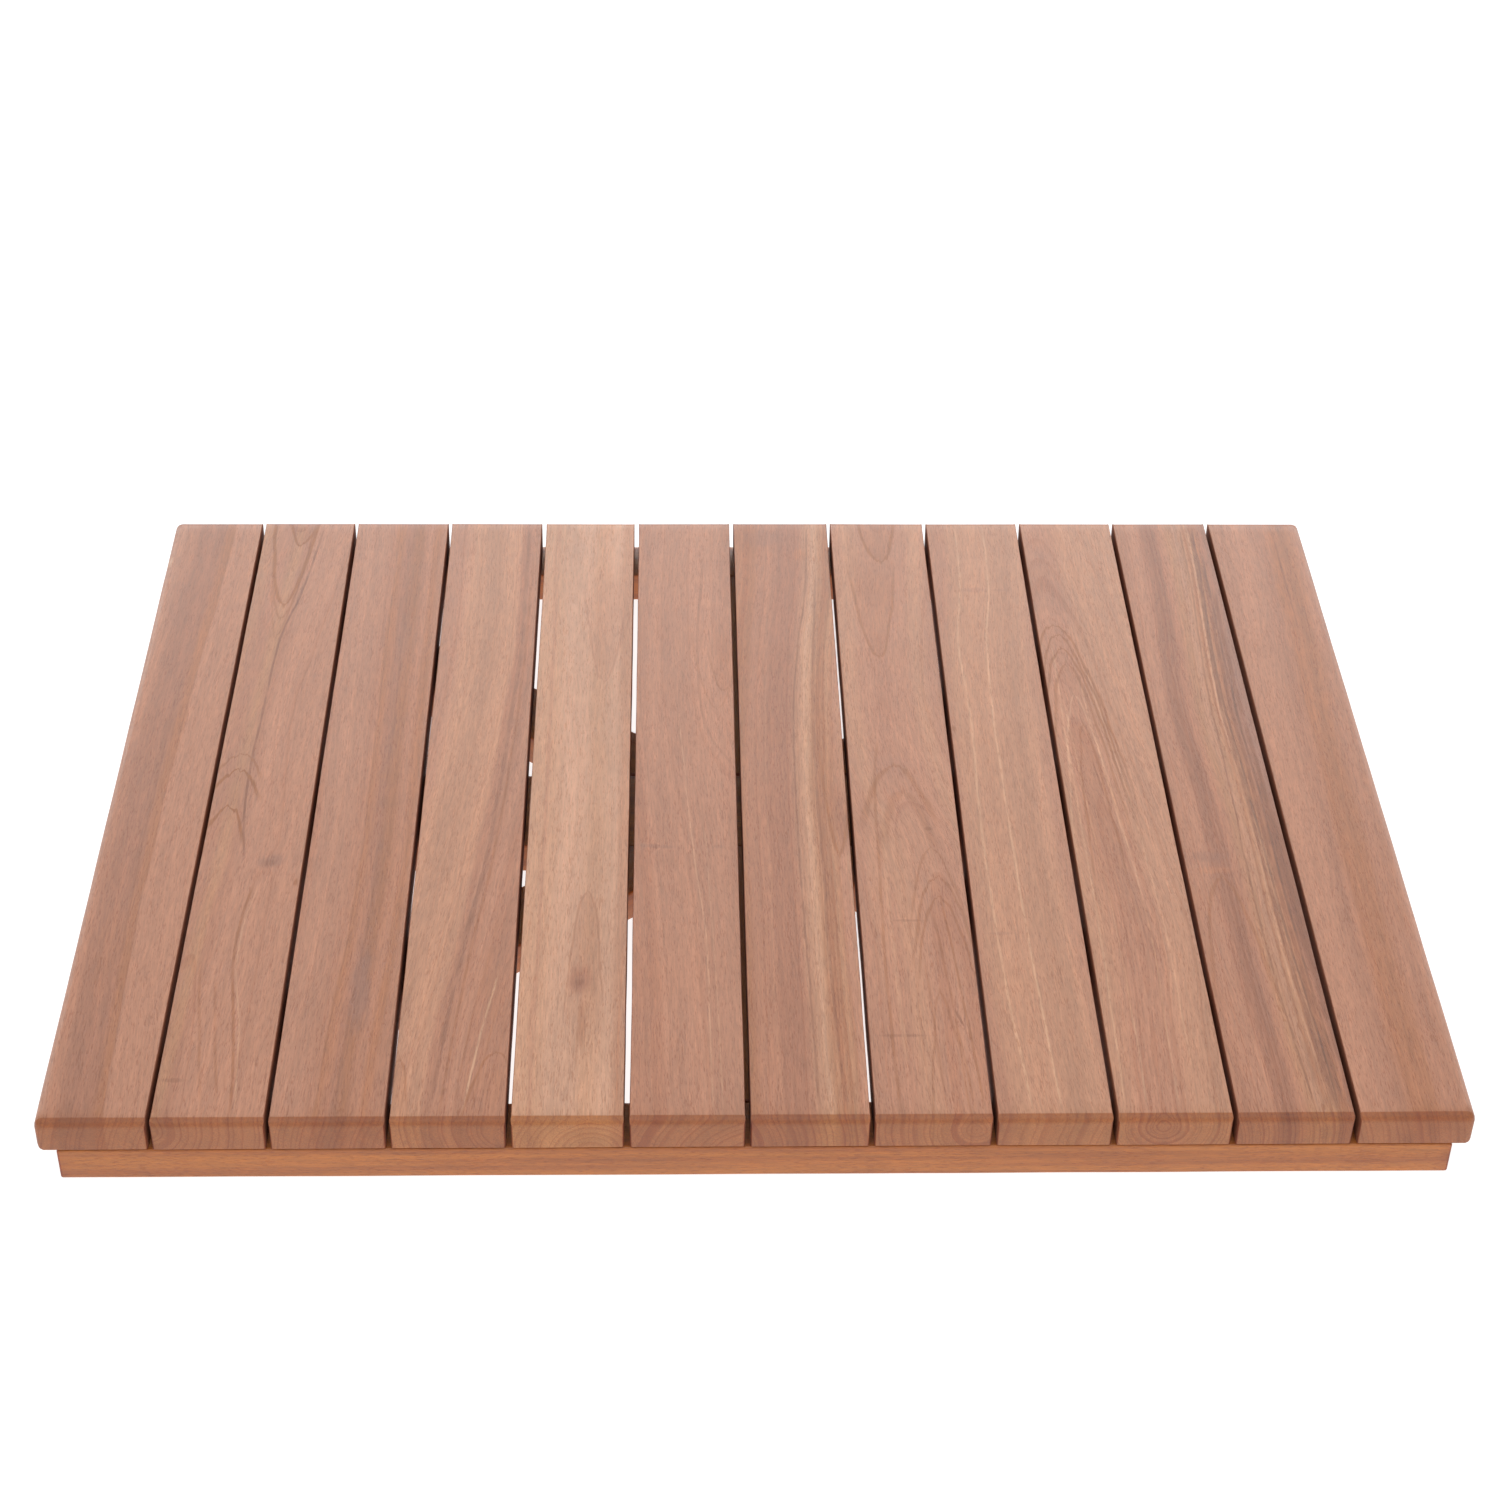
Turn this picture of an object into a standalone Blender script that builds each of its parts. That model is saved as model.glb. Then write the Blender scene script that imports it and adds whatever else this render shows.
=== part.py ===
"""Slatted teak bath mat: twelve boards side by side on a flat timber frame.

Metres, +Z up. The mat lies on the floor at Z = 0, centred on the origin.
+X runs along the long side, across the boards. The boards run along Y.
Rails, spine and braces all lie in one layer directly under the boards, and
countersunk screws driven from below hold each board and each frame piece.
"""
import math

import bmesh
import bpy
from mathutils import Matrix, Vector

# Boards, left to right. They are sawn by hand, so widths and gaps vary a little.
BOARD_WIDTHS = (0.0471, 0.0480, 0.0488, 0.04885, 0.0478, 0.0491,
                0.0508, 0.0502, 0.0491, 0.0490, 0.0499, 0.04985)
BOARD_GAPS = (0.00165, 0.00175, 0.00175, 0.0022, 0.0022, 0.0020,
              0.00175, 0.00185, 0.0020, 0.00185, 0.0021)
BOARD_LENGTH = 0.4572
BOARD_THICKNESS = 0.016
MAT_WIDTH = sum(BOARD_WIDTHS) + sum(BOARD_GAPS)

# Frame layer under the boards.
FRAME_THICKNESS = 0.0167
SEAT_GAP = 0.0003
BOARD_BOTTOM = FRAME_THICKNESS + SEAT_GAP
END_RAIL_WIDTH = 0.028
END_RAIL_INSET = 0.0080
MIDDLE_RAIL_WIDTH = 0.054
SPINE_WIDTH = 0.035
BRACE_WIDTH = 0.0343
BRACE_SLOPE = 0.73

# Rounded edges.
END_ROUND = 0.0040
OUTER_CORNER_ROUND = 0.0035
OUTER_BOTTOM_ROUND = 0.0026
LONG_EDGE_ROUND = 0.0008
SMALL_EDGE_ROUND = 0.0004
FRAME_EDGE_ROUND = 0.0010
ROUND_SEGMENTS = 3

# Countersunk screws.
SCREW_LENGTH = 0.025
SCREW_HEAD_RADIUS = 0.0040
SCREW_HEAD_HEIGHT = 0.0024
SCREW_RIM_HEIGHT = 0.0003
SCREW_SHANK_RADIUS = 0.0018
SCREW_POINT_LENGTH = 0.0040
SCREW_POINT_RADIUS = 0.0004
SCREW_RECESS = 0.0008
SCREW_SIDES = 10
HOLE_CLEARANCE = 0.0003
CUTTER_OVERRUN = 0.0010

# Screws other than those in the two end rails: (board number, height along Y).
MIDDLE_SCREW_BOARDS = (2, 4, 9, 11)
BRACE_SCREW_BOARDS = (3, 5, 8, 10)
SPINE_SCREW_BOARD = 6
SPINE_SCREW_Y = 0.115
SPINE_SCREW_X = -0.0115

# Finishes: red, green, blue in linear light.
BOARD_TONES = ((0.43, 0.23, 0.16), (0.43, 0.24, 0.16), (0.39, 0.20, 0.14),
               (0.46, 0.26, 0.18), (0.50, 0.30, 0.20), (0.41, 0.22, 0.16),
               (0.40, 0.22, 0.15), (0.42, 0.23, 0.16), (0.45, 0.25, 0.18),
               (0.46, 0.26, 0.18), (0.39, 0.21, 0.15), (0.43, 0.23, 0.16))
FRAME_TONE = (0.46, 0.20, 0.11)
STEEL_TONE = (0.56, 0.56, 0.55)
WOOD_ROUGHNESS = 0.6
STEEL_ROUGHNESS = 0.35


def clear_objects():
    for thing in list(bpy.data.objects):
        bpy.data.objects.remove(thing, do_unlink=True)


def new_collection(name):
    collection = bpy.data.collections.new(name)
    bpy.context.scene.collection.children.link(collection)
    return collection


def finish_material(name, colour, roughness, metallic):
    material = bpy.data.materials.new(name)
    material.use_nodes = True
    shader = material.node_tree.nodes["Principled BSDF"]
    shader.inputs["Base Color"].default_value = (*colour, 1.0)
    shader.inputs["Roughness"].default_value = roughness
    shader.inputs["Metallic"].default_value = metallic
    return material


def box_mesh(name, size, centre):
    """A box as a bmesh cube, sized and placed in the mesh itself."""
    shape = bmesh.new()
    placed = Matrix.Translation(centre) @ Matrix.Diagonal((*size, 1.0))
    bmesh.ops.create_cube(shape, size=1.0, matrix=placed)
    mesh = bpy.data.meshes.new(name)
    shape.to_mesh(mesh)
    shape.free()
    return mesh


def add_object(name, mesh, collection, material=None):
    thing = bpy.data.objects.new(name, mesh)
    collection.objects.link(thing)
    if material is not None:
        mesh.materials.append(material)
    return thing


def round_edges(thing, radius_of_edge):
    """Bevel each edge by its own radius: radius_of_edge(middle, direction)."""
    widest = END_ROUND
    shape = bmesh.new()
    shape.from_mesh(thing.data)
    weights = shape.edges.layers.float.new("bevel_weight_edge")
    for edge in shape.edges:
        first, second = (vert.co for vert in edge.verts)
        radius = radius_of_edge((first + second) / 2, (second - first).normalized())
        edge[weights] = radius / widest
    shape.to_mesh(thing.data)
    shape.free()
    bevel = thing.modifiers.new("rounded edges", "BEVEL")
    bevel.limit_method = "WEIGHT"
    bevel.width = widest
    bevel.segments = ROUND_SEGMENTS


def cut_away(thing, cutter, operation="DIFFERENCE"):
    cut = thing.modifiers.new(cutter.name, "BOOLEAN")
    cut.operation = operation
    cut.solver = "EXACT"
    cut.object = cutter


def board_edges():
    """Left and right X of each board, from the left side of the mat."""
    edges = []
    left = -MAT_WIDTH / 2
    for index, width in enumerate(BOARD_WIDTHS):
        edges.append((left, left + width))
        if index < len(BOARD_GAPS):
            left += width + BOARD_GAPS[index]
    return edges


def board_middle(number):
    left, right = board_edges()[number - 1]
    return (left + right) / 2


def make_board(number, left, right, collection):
    """One board. The two outermost ones are also rounded on their free side."""
    name = f"slat_{number:02d}"
    size = (right - left, BOARD_LENGTH, BOARD_THICKNESS)
    centre = ((left + right) / 2, 0.0, BOARD_BOTTOM + BOARD_THICKNESS / 2)
    finish = finish_material(name, BOARD_TONES[number - 1], WOOD_ROUGHNESS, 0.0)
    board = add_object(name, box_mesh(name, size, centre), collection, finish)
    free_side = {1: -1, len(BOARD_WIDTHS): 1}.get(number, 0)

    def radius(middle, direction):
        on_top = middle.z > centre[2]
        on_free_side = (middle.x - centre[0]) * free_side > size[0] / 4
        if abs(direction.x) > 0.5:
            return END_ROUND if on_top else SMALL_EDGE_ROUND
        if abs(direction.z) > 0.5:
            return OUTER_CORNER_ROUND if on_free_side else LONG_EDGE_ROUND
        if on_free_side:
            return END_ROUND if on_top else OUTER_BOTTOM_ROUND
        return LONG_EDGE_ROUND if on_top else SMALL_EDGE_ROUND

    round_edges(board, radius)
    return board


def make_frame_bar(name, x_range, y_range, collection):
    size = (x_range[1] - x_range[0], y_range[1] - y_range[0], FRAME_THICKNESS)
    centre = (sum(x_range) / 2, sum(y_range) / 2, FRAME_THICKNESS / 2)
    finish = finish_material(name, FRAME_TONE, WOOD_ROUGHNESS, 0.0)
    bar = add_object(name, box_mesh(name, size, centre), collection, finish)
    round_edges(bar, lambda middle, direction: FRAME_EDGE_ROUND)
    return bar


def make_brace(name, side, end, collection, cutters):
    """One arm of the diagonal cross, trimmed to its bay of the frame."""
    angle = math.atan(BRACE_SLOPE)
    length = math.hypot(MAT_WIDTH, BOARD_LENGTH)
    mesh = box_mesh(name, (length, BRACE_WIDTH, FRAME_THICKNESS), (0, 0, 0))
    mesh.transform(Matrix.Rotation(angle * side * end, 4, "Z"))
    mesh.transform(Matrix.Translation((0, 0, FRAME_THICKNESS / 2)))
    finish = finish_material(name, FRAME_TONE, WOOD_ROUGHNESS, 0.0)
    brace = add_object(name, mesh, collection, finish)

    inner = Vector((SPINE_WIDTH, MIDDLE_RAIL_WIDTH)) / 2
    outer = Vector((MAT_WIDTH / 2 - END_RAIL_INSET, BOARD_LENGTH / 2 - END_RAIL_WIDTH))
    inner += Vector((SEAT_GAP, SEAT_GAP))
    outer -= Vector((0, SEAT_GAP))
    middle = (inner + outer) / 2
    bay_size = (outer.x - inner.x, outer.y - inner.y, FRAME_THICKNESS * 2)
    bay_centre = (middle.x * side, middle.y * end, FRAME_THICKNESS / 2)
    bay = add_cutter(f"bay_{name}", box_mesh(name, bay_size, bay_centre), cutters)
    cut_away(brace, bay, "INTERSECT")
    soften = brace.modifiers.new("rounded edges", "BEVEL")
    soften.limit_method = "ANGLE"
    soften.width = FRAME_EDGE_ROUND
    soften.segments = 2
    return brace


def add_cutter(name, mesh, cutters):
    cutter = add_object(f"cutter_{name}", mesh, cutters)
    cutter.hide_render = True
    cutter.display_type = "WIRE"
    return cutter


def screw_outline(clearance):
    """Half section of a screw, point first, as (radius, height) pairs.

    Height runs up from the head's flat face. The screw hole is the same
    outline made larger by the clearance all round.
    """
    head_radius = SCREW_HEAD_RADIUS + clearance
    shank_radius = SCREW_SHANK_RADIUS + clearance
    return ((0.0, SCREW_LENGTH + clearance),
            (SCREW_POINT_RADIUS + clearance, SCREW_LENGTH + clearance),
            (shank_radius, SCREW_LENGTH - SCREW_POINT_LENGTH + clearance),
            (shank_radius, SCREW_HEAD_HEIGHT + clearance),
            (head_radius, SCREW_RIM_HEIGHT + clearance))


def turned_mesh(name, outline, sides):
    """Turn an outline about Z into a closed mesh, applied as a plain mesh."""
    profile = bpy.data.meshes.new(name)
    points = [(radius, 0.0, height) for radius, height in outline]
    links = [(index, index + 1) for index in range(len(points) - 1)]
    profile.from_pydata(points, links, [])
    turning = bpy.data.objects.new(name, profile)
    bpy.context.scene.collection.objects.link(turning)
    screw = turning.modifiers.new("turn", "SCREW")
    screw.axis = "Z"
    screw.steps = sides
    screw.render_steps = sides
    screw.use_merge_vertices = True
    screw.merge_threshold = 0.00001
    graph = bpy.context.evaluated_depsgraph_get()
    mesh = bpy.data.meshes.new_from_object(turning.evaluated_get(graph))
    bpy.data.objects.remove(turning, do_unlink=True)
    return mesh


def screw_mesh():
    outline = screw_outline(0.0) + ((SCREW_HEAD_RADIUS, 0.0), (0.0, 0.0))
    return turned_mesh("screw", outline, SCREW_SIDES)


def screw_hole_mesh():
    head_radius = SCREW_HEAD_RADIUS + HOLE_CLEARANCE
    below = -SCREW_RECESS - CUTTER_OVERRUN
    outline = screw_outline(HOLE_CLEARANCE) + ((head_radius, below), (0.0, below))
    return turned_mesh("screw hole", outline, SCREW_SIDES)


def copy_at(mesh, place):
    moved = mesh.copy()
    moved.transform(Matrix.Translation(place))
    return moved


def screw_plan():
    """Name, board number, frame piece and (x, y) of every screw."""
    plan = []
    rail_y = BOARD_LENGTH / 2 - END_RAIL_WIDTH / 2
    for number in range(1, len(BOARD_WIDTHS) + 1):
        x = board_middle(number)
        plan.append((f"screw_front_{number:02d}", number, "front_rail", (x, -rail_y)))
        plan.append((f"screw_rear_{number:02d}", number, "rear_rail", (x, rail_y)))
    for number in MIDDLE_SCREW_BOARDS:
        place = (board_middle(number), 0.0)
        plan.append((f"screw_middle_{number:02d}", number, "middle_rail", place))
    for number in BRACE_SCREW_BOARDS:
        x = board_middle(number)
        side = "left" if x < 0 else "right"
        for end, sign in (("front", -1), ("rear", 1)):
            place = (x, sign * abs(x) * BRACE_SLOPE)
            brace = f"brace_{end}_{side}"
            plan.append((f"screw_{brace}_{number:02d}", number, brace, place))
    for end, sign in (("front", -1), ("rear", 1)):
        place = (SPINE_SCREW_X, sign * SPINE_SCREW_Y)
        plan.append((f"screw_spine_{end}", SPINE_SCREW_BOARD, f"spine_{end}", place))
    return plan


def make_screws(pieces, collection, cutters):
    """Place every screw and cut its hole through the frame into the board."""
    steel = finish_material("screw_steel", STEEL_TONE, STEEL_ROUGHNESS, 1.0)
    whole_screw = screw_mesh()
    whole_hole = screw_hole_mesh()
    holes = {}
    for name, number, frame_piece, (x, y) in screw_plan():
        place = (x, y, SCREW_RECESS)
        screw = add_object(name, copy_at(whole_screw, place), collection, steel)
        screw.data.set_sharp_from_angle(angle=math.radians(35))
        for owner in (f"slat_{number:02d}", frame_piece):
            holes.setdefault(owner, []).append(copy_at(whole_hole, place))
    for owner, meshes in holes.items():
        joined = bmesh.new()
        for mesh in meshes:
            joined.from_mesh(mesh)
        hole_mesh = bpy.data.meshes.new(f"holes {owner}")
        joined.to_mesh(hole_mesh)
        joined.free()
        cut_away(pieces[owner], add_cutter(f"holes_{owner}", hole_mesh, cutters))


def make_mat():
    clear_objects()
    collection = new_collection("bath_mat")
    cutters = new_collection("cutters")
    pieces = {}
    for number, (left, right) in enumerate(board_edges(), start=1):
        board = make_board(number, left, right, collection)
        pieces[board.name] = board

    rail_x = MAT_WIDTH / 2 - END_RAIL_INSET
    rail_inner_y = BOARD_LENGTH / 2 - END_RAIL_WIDTH
    middle_y = MIDDLE_RAIL_WIDTH / 2
    spine_x = SPINE_WIDTH / 2
    spine_y = (middle_y + SEAT_GAP, rail_inner_y - SEAT_GAP)
    bars = (("front_rail", (-rail_x, rail_x), (-BOARD_LENGTH / 2, -rail_inner_y)),
            ("rear_rail", (-rail_x, rail_x), (rail_inner_y, BOARD_LENGTH / 2)),
            ("middle_rail", (-rail_x, rail_x), (-middle_y, middle_y)),
            ("spine_front", (-spine_x, spine_x), (-spine_y[1], -spine_y[0])),
            ("spine_rear", (-spine_x, spine_x), spine_y))
    for name, x_range, y_range in bars:
        pieces[name] = make_frame_bar(name, x_range, y_range, collection)

    for end, end_sign in (("front", -1), ("rear", 1)):
        for side, side_sign in (("left", -1), ("right", 1)):
            name = f"brace_{end}_{side}"
            pieces[name] = make_brace(name, side_sign, end_sign, collection, cutters)

    make_screws(pieces, collection, cutters)


make_mat()
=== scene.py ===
import math

import bpy
from mathutils import Matrix, Vector


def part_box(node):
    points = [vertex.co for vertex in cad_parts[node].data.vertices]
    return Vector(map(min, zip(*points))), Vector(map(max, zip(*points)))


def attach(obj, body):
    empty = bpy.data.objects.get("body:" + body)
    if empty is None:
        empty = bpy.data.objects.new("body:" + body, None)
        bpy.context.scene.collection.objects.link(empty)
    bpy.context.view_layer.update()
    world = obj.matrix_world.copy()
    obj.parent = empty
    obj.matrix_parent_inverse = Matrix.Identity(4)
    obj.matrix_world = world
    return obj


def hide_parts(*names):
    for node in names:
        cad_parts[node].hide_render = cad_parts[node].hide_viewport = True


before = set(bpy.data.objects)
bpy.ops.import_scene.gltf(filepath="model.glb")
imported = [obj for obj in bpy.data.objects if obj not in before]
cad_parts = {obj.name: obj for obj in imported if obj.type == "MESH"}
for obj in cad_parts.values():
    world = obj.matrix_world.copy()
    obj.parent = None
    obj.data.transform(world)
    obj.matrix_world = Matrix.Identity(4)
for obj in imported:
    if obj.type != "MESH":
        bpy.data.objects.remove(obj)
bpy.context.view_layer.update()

BODY = "root"
BOARD_COUNT = 12
MM = 0.001

# Half a board's length, and how far from a board's middle its side edges are looked for.
HALF_BOARD = 228.6 * MM
SIDE_ZONE = 10.0 * MM

# Rounding of the boards and of the frame timber.
END_ROUND = 4.0 * MM
CORNER_ROUND = 3.5 * MM
UNDERSIDE_ROUND = 2.6 * MM
ARRIS = 0.8 * MM
SHARP_ARRIS = 0.4 * MM
END_ARRIS = 1.4 * MM
FRAME_ARRIS = 1.2 * MM
ROUND_STEPS = 6
FRAME_STEPS = 4

# Slow unevenness that hand planing leaves along the timber. WAVE_STEPS moves the
# pattern on from one piece to the next.
BOARD_CUTS = 72
BAR_CUTS = 40
BOARD_WAVE = 0.35 * MM
BAR_WAVE = 0.6 * BOARD_WAVE
WAVE_LENGTH = 45.0 * MM
WAVE_STEPS = (0.37, 0.61, 0.23)
SMOOTH_ANGLE = math.radians(32)

# Screws and the holes that they go in.
HEAD_RADIUS = 4.0 * MM
HEAD_HEIGHT = 2.4 * MM
RIM_HEIGHT = 0.3 * MM
SHANK_RADIUS = 1.8 * MM
CORE_RADIUS = 1.35 * MM
SCREW_LENGTH = 25.0 * MM
POINT_LENGTH = 4.0 * MM
POINT_SHARE = 0.25
SCREW_SIDES = 20
SCREW_TURN = 1.9
THREAD_DEPTH = 0.5 * MM
THREAD_PITCH = 2.0 * MM
THREAD_TURNS = 8
RECESS_REACH = 2.3 * MM
RECESS_HALF = 0.55 * MM
RECESS_DEPTH = 1.5 * MM
RECESS_TAPER = 0.4
SINK_CLEARANCE = 0.25 * MM
SINK_SIDES = 32
CUT_OVERRUN = 2.0 * MM

# Diagonal braces of the frame.
BRACE_WIDTH = 34.3 * MM
BRACE_SLOPE = 0.73

# Straight bars: node, axis of the grain, start of its screws' names, seed of its grain.
BARS = (
    ("front_rail", 0, "screw_front", 3.1),
    ("rear_rail", 0, "screw_rear", 8.4),
    ("middle_rail", 0, "screw_middle", 5.7),
    ("spine_front", 1, "screw_spine_front", 11.2),
    ("spine_rear", 1, "screw_spine_rear", 14.9),
)
FIRST_BRACE_SEED = 17.3
BRACE_SEED_STEP = 3.7

# Camera: place in metres, pitch below level, turn to the right and tilt in degrees.
CAMERA_PLACE = (-0.0350, -1.1137, 0.9175)
CAMERA_PITCH = 37.807
CAMERA_YAW = 1.819
CAMERA_ROLL = 1.028
LENS = 70.8
SENSOR = 36.0

# Studio: a pale floor just under the mat that glows by itself, and light from all round.
FLOOR_SIZE = 14.0
FLOOR_DROP = 0.2 * MM
FLOOR_GREY = (0.40, 0.40, 0.40, 1.0)
FLOOR_GLOW = 0.86
AIR_LIGHT = 0.52
WHITE = (1.0, 1.0, 1.0, 1.0)


# ---------------------------------------------------------------- small tools

def deselect():
    if bpy.context.object and bpy.context.object.mode != "OBJECT":
        bpy.ops.object.mode_set(mode="OBJECT")
    bpy.ops.object.select_all(action="DESELECT")


def take(piece):
    deselect()
    piece.select_set(True)
    bpy.context.view_layer.objects.active = piece


def apply_modifier(piece, kind, **settings):
    take(piece)
    modifier = piece.modifiers.new(kind.lower(), kind)
    for name, value in settings.items():
        setattr(modifier, name, value)
    bpy.ops.object.modifier_apply(modifier=modifier.name)


def block(name, low, high):
    """A box of timber between two corners, as a new piece."""
    deselect()
    low, high = Vector(low), Vector(high)
    bpy.ops.mesh.primitive_cube_add(size=1, location=(low + high) / 2)
    piece = bpy.context.object
    piece.name = name
    piece.data.name = name
    piece.scale = high - low
    bpy.ops.object.transform_apply(location=True, rotation=True, scale=True)
    return piece


def ease_edges(piece, radius_of_edge, widest, steps):
    """Round every edge by the radius that radius_of_edge(middle, direction) gives."""
    mesh = piece.data
    weights = mesh.attributes.new("bevel_weight_edge", "FLOAT", "EDGE")
    for edge in mesh.edges:
        first, second = (mesh.vertices[index].co for index in edge.vertices)
        radius = radius_of_edge((first + second) / 2, (second - first).normalized())
        weights.data[edge.index].value = radius / widest
    apply_modifier(piece, "BEVEL", limit_method="WEIGHT", width=widest, segments=steps)


def select_edges(piece, wanted):
    take(piece)
    bpy.ops.object.mode_set(mode="EDIT")
    bpy.ops.mesh.select_mode(type="EDGE")
    bpy.ops.mesh.select_all(action="DESELECT")
    bpy.ops.object.mode_set(mode="OBJECT")
    mesh = piece.data
    for edge in mesh.edges:
        first, second = (mesh.vertices[index].co for index in edge.vertices)
        edge.select = wanted((first + second) / 2, (second - first).normalized())
    bpy.ops.object.mode_set(mode="EDIT")


def select_faces(piece, wanted):
    take(piece)
    bpy.ops.object.mode_set(mode="EDIT")
    bpy.ops.mesh.select_mode(type="FACE")
    bpy.ops.mesh.select_all(action="DESELECT")
    bpy.ops.object.mode_set(mode="OBJECT")
    for face in piece.data.polygons:
        face.select = wanted(face.center, face.normal)
    bpy.ops.object.mode_set(mode="EDIT")


def looks_up(_, normal):
    return normal.z > 0.9


def pull_up(rise, share):
    """Extrude the selected end face upwards and draw it in or out."""
    bpy.ops.mesh.extrude_region_move(TRANSFORM_OT_translate={"value": (0, 0, rise)})
    bpy.ops.transform.resize(value=(share, share, 1.0), center_override=(0, 0, 0))


def hand_planed(piece, axis, cuts, depth, seed):
    """Cut the long faces across and let them waver a little, always inwards."""
    select_edges(piece, lambda middle, run: abs(run[axis]) > 0.999)
    bpy.ops.mesh.subdivide(number_cuts=cuts)
    bpy.ops.object.mode_set(mode="OBJECT")
    wave = bpy.data.textures.new(f"{piece.name}_wave", "CLOUDS")
    wave.noise_scale = WAVE_LENGTH
    wave.noise_depth = 1
    shift = bpy.data.objects.new(f"{piece.name}_wave_place", None)
    shift.location = [seed * step for step in WAVE_STEPS]
    bpy.context.scene.collection.objects.link(shift)
    apply_modifier(piece, "DISPLACE", texture=wave, texture_coords="OBJECT",
                   texture_coords_object=shift, strength=depth, mid_level=1.0)
    bpy.data.objects.remove(shift)
    bpy.data.textures.remove(wave)


def finish_piece(piece, material, slot, *nodes):
    take(piece)
    bpy.ops.object.shade_smooth_by_angle(angle=SMOOTH_ANGLE)
    piece.data.materials.clear()
    piece.data.materials.append(material)
    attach(piece, BODY)
    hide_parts(*nodes)


# ------------------------------------------------------------- shader helpers

class Bench:
    """Adds shader nodes to one tree and returns the sockets they put out."""

    def __init__(self, tree):
        self.tree = tree

    def node(self, kind, **settings):
        made = self.tree.nodes.new(kind)
        for name, value in settings.items():
            setattr(made, name, value)
        return made

    def feed(self, socket, value):
        if isinstance(value, bpy.types.NodeSocket):
            self.tree.links.new(value, socket)
        elif value is not None:
            socket.default_value = value

    def maths(self, operation, first, second=None):
        made = self.node("ShaderNodeMath", operation=operation)
        for socket, value in zip(made.inputs, (first, second)):
            self.feed(socket, value)
        return made.outputs[0]

    def add(self, first, second):
        return self.maths("ADD", first, second)

    def less(self, first, second):
        return self.maths("SUBTRACT", first, second)

    def times(self, first, second):
        return self.maths("MULTIPLY", first, second)

    def split(self, vector):
        made = self.node("ShaderNodeSeparateXYZ")
        self.feed(made.inputs[0], vector)
        return made.outputs

    def join(self, x, y, z):
        made = self.node("ShaderNodeCombineXYZ")
        for socket, value in zip(made.inputs, (x, y, z)):
            self.feed(socket, value)
        return made.outputs[0]

    def along_grain(self, x, y, z, seed, across, along):
        """A place in a pattern that is drawn out along the grain, by cycles a metre."""
        return self.join(self.times(x, across), self.add(self.times(y, along), seed),
                         self.times(z, across))

    def noise(self, vector, scale, detail=2.0, rough=0.5, dimensions="3D", w=None):
        made = self.node("ShaderNodeTexNoise", noise_dimensions=dimensions)
        if dimensions != "1D":
            self.feed(made.inputs["Vector"], vector)
        if w is not None:
            self.feed(made.inputs["W"], w)
        self.feed(made.inputs["Scale"], scale)
        self.feed(made.inputs["Detail"], detail)
        self.feed(made.inputs["Roughness"], rough)
        return made.outputs

    def between(self, value, start, end, low=0.0, high=1.0, kind="SMOOTHSTEP"):
        made = self.node("ShaderNodeMapRange", interpolation_type=kind)
        for socket, given in zip(made.inputs, (value, start, end, low, high)):
            self.feed(socket, given)
        return made.outputs[0]

    def blend(self, share, under, over, mode="MIX"):
        made = self.node("ShaderNodeMix", data_type="RGBA", blend_type=mode)
        self.feed(made.inputs["Factor"], share)
        self.feed(made.inputs["A"], under)
        self.feed(made.inputs["B"], over)
        return made.outputs["Result"]


def new_group(name, values, out):
    """An empty shader node group: inputs {name: default}, outputs {name: kind}."""
    tree = bpy.data.node_groups.new(name, "ShaderNodeTree")
    for title, default in values.items():
        kind = "NodeSocketVector" if default is None else "NodeSocketFloat"
        made = tree.interface.new_socket(title, in_out="INPUT", socket_type=kind)
        if default is not None:
            made.default_value = default
    for title in out:
        tree.interface.new_socket(title, in_out="OUTPUT", socket_type="NodeSocketFloat")
    bench = Bench(tree)
    return tree, bench, bench.node("NodeGroupInput").outputs, bench.node("NodeGroupOutput").inputs


def use_group(bench, group, **values):
    made = bench.node("ShaderNodeGroup", node_tree=group)
    for title, value in values.items():
        bench.feed(made.inputs[title.replace("_", " ")], value)
    return made.outputs


# ---------------------------------------------------------- shared wood groups

# Quick sideways shiver of the rings in metres, and how many rings they bunch by.
SHIVER = 0.0014
UNEVEN_YEARS = 2.2


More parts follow.
